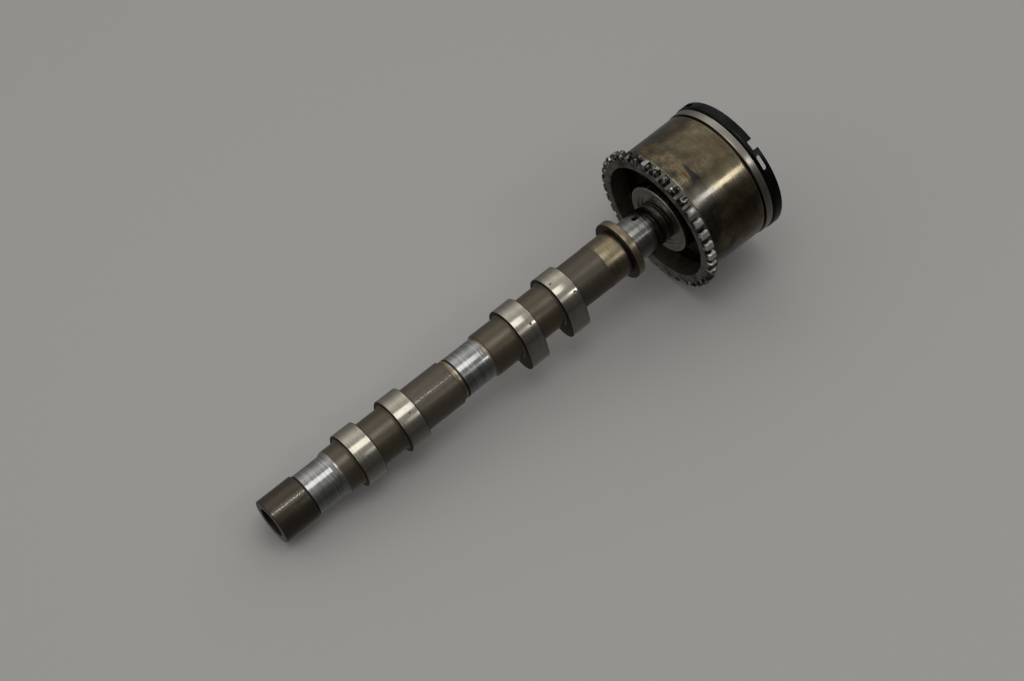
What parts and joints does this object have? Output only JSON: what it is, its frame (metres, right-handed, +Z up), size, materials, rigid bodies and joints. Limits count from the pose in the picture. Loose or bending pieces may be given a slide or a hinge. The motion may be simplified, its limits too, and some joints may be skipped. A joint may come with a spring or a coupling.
{
  "type": "camshaft",
  "caption": "Overhead camshaft with ground journals and egg-shaped lobes, a vane-type phaser drum with a chain sprocket, and a notched trigger wheel, lying on its side.",
  "frame": {"origin": "centre of the bounding box's base, on the surface that the camshaft lies on", "axes": "+Z up; +X along the shaft's heading over the surface, from the open end to the phaser; the shaft's axis climbs 6.7 degrees from +X towards +Z, because it rests on the open end and on two chain teeth"},
  "size_m": [0.3403, 0.0914, 0.0942],
  "materials": {
    "cast_shaft": "brown oxidised casting with ground journals and polished lobes",
    "rotor_steel": "turned grey steel",
    "ring_steel": "worn bright teeth on dark steel",
    "drum_steel": "bronze-brown oxide with bright wear",
    "plate_steel": "dark oxide",
    "cover_steel": "bright turned rim",
    "wheel_steel": "black oxide",
    "fastener_steel": "dark oxide",
    "hardened_steel": "ground",
    "spring_steel": "bright",
    "seal_plastic": "matte"
  },
  "bodies": {
    "shaft": {"camshaft": "cast_shaft", "rotor": "rotor_steel", "nose_dowel": "hardened_steel", "trigger_wheel": "wheel_steel", "wheel_dowel": "hardened_steel", "bolt_washer": "fastener_steel", "center_bolt": "fastener_steel", "lock_pin": "hardened_steel", "lock_cap": "hardened_steel", "lock_spring": "spring_steel", "vane_seal_1": "seal_plastic", "vane_seal_spring_1": "spring_steel", "vane_seal_2": "seal_plastic", "vane_seal_spring_2": "spring_steel", "vane_seal_3": "seal_plastic", "vane_seal_spring_3": "spring_steel", "vane_seal_4": "seal_plastic", "vane_seal_spring_4": "spring_steel"},
    "phaser_drum": {"sprocket_ring": "ring_steel", "stator_housing": "drum_steel", "inner_plate": "plate_steel", "outer_cover": "cover_steel", "cover_bolts": "fastener_steel", "stator_dowels": "hardened_steel", "lock_bush": "hardened_steel", "stator_seal_1": "seal_plastic", "stator_seal_spring_1": "spring_steel", "stator_seal_2": "seal_plastic", "stator_seal_spring_2": "spring_steel", "stator_seal_3": "seal_plastic", "stator_seal_spring_3": "spring_steel", "stator_seal_4": "seal_plastic", "stator_seal_spring_4": "spring_steel"}
  },
  "joints": [
    {"name": "phaser_turn", "type": "hinge", "parent": "shaft", "child": "phaser_drum", "pos_m": [0.12927, 0, 0.04811], "axis": [0.9933, 0, 0.116], "range_deg": [0, 25]}
  ]
}
